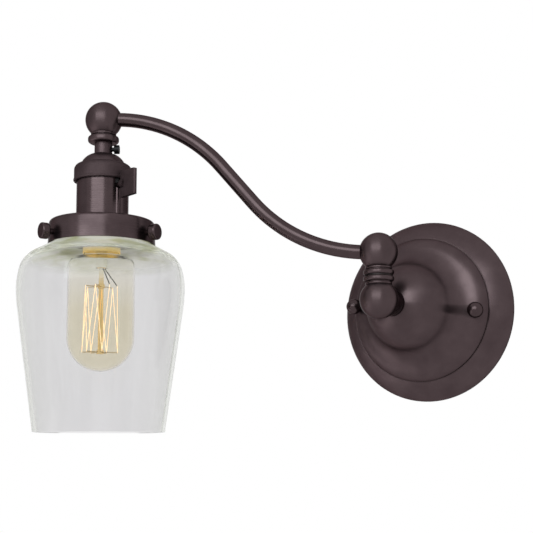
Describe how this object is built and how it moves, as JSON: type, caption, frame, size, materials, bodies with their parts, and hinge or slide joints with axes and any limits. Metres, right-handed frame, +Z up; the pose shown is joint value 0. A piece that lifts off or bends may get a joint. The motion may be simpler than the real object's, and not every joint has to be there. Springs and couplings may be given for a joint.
{
  "type": "swing arm wall lamp",
  "caption": "Wall lamp with a round domed canopy, a ball swivel, an S-shaped arm, a keyed socket and a clear glass shade held by thumbscrews round an open-filament bulb.",
  "frame": {"origin": "middle of the canopy's back, on the wall, midway between the box strap's two screw slots", "axes": "+X right along the wall, +Y into the wall, +Z up; the lamp stands out along -Y"},
  "size_m": [0.2991, 0.2011, 0.2286],
  "materials": {
    "bronze": "satin oil-rubbed bronze",
    "blackened_steel": "black oxide",
    "zinc_steel": "zinc plated",
    "green_screw": "green plated",
    "socket_plastic": "moulded",
    "liner_card": "pressed",
    "socket_brass": "rolled sheet",
    "bulb_brass": "rolled sheet",
    "solder": "soldered",
    "bulb_ceramic": "vitrified",
    "clear_glass": "clear",
    "bulb_clear_glass": "clear, slightly amber",
    "filament": "drawn wire",
    "support_wire": "drawn wire",
    "wire_sheath": "extruded"
  },
  "bodies": {
    "wall": {"wall_canopy": "bronze", "box_strap": "zinc_steel", "canopy_strap": "zinc_steel", "strap_eyelet": "zinc_steel", "ground_screw": "green_screw", "canopy_studs": "zinc_steel", "canopy_ball_nuts": "bronze", "canopy_nipple": "zinc_steel", "canopy_lockwasher": "zinc_steel", "canopy_locknut": "zinc_steel", "wall_ball": "bronze", "swivel_stem": "zinc_steel", "swivel_washer": "bronze", "swivel_stop_pin": "zinc_steel", "swivel_spring_washer": "zinc_steel", "swivel_nut": "zinc_steel", "wall_wires": "wire_sheath"},
    "arm": {"arm_ball": "bronze", "arm_tube": "bronze", "arm_wires": "wire_sheath", "head_ball": "bronze", "head_nipple": "zinc_steel", "socket_cap": "bronze", "cap_set_screw": "blackened_steel", "socket_shell": "bronze", "socket_liner": "liner_card", "socket_body": "socket_plastic", "socket_terminals": "socket_brass", "screw_shell": "socket_brass", "centre_contact": "socket_brass", "shade_holder": "bronze", "shade_ring": "socket_plastic", "glass_shade": "clear_glass"},
    "key": {"switch_shaft": "bronze", "switch_paddle": "bronze"},
    "bulb": {"bulb_glass": "bulb_clear_glass", "bulb_base": "bulb_brass", "bulb_insulator": "bulb_ceramic", "bulb_contact": "solder", "bulb_stem": "bulb_clear_glass", "bulb_supports": "support_wire", "bulb_leads": "support_wire", "bulb_filament": "filament"},
    "thumb_1": {"thumbscrew_1": "bronze"},
    "thumb_2": {"thumbscrew_2": "bronze"},
    "thumb_3": {"thumbscrew_3": "bronze"}
  },
  "joints": [
    {"name": "arm_swing", "type": "hinge", "parent": "wall", "child": "arm", "pos_m": [0, -0.079, 0], "axis": [0, 0, 1], "range_deg": [-20, 160]},
    {"name": "switch_key", "type": "hinge", "parent": "arm", "child": "key", "pos_m": [-0.17854, -0.14398, 0.0819], "axis": [0.9703, -0.2419, 0], "continuous": true},
    {"name": "bulb_turn", "type": "hinge", "parent": "arm", "child": "bulb", "pos_m": [-0.17854, -0.14398, 0.04], "axis": [0, 0, 1], "continuous": true},
    {"name": "thumb_1_travel", "type": "slide", "parent": "arm", "child": "thumb_1", "axis": [0.9962, 0.0872, 0], "range_m": [0, 0.003]},
    {"name": "thumb_2_travel", "type": "slide", "parent": "arm", "child": "thumb_2", "axis": [-0.5736, 0.8192, 0], "range_m": [0, 0.003]},
    {"name": "thumb_3_travel", "type": "slide", "parent": "arm", "child": "thumb_3", "axis": [-0.4226, -0.9063, 0], "range_m": [0, 0.003]}
  ]
}
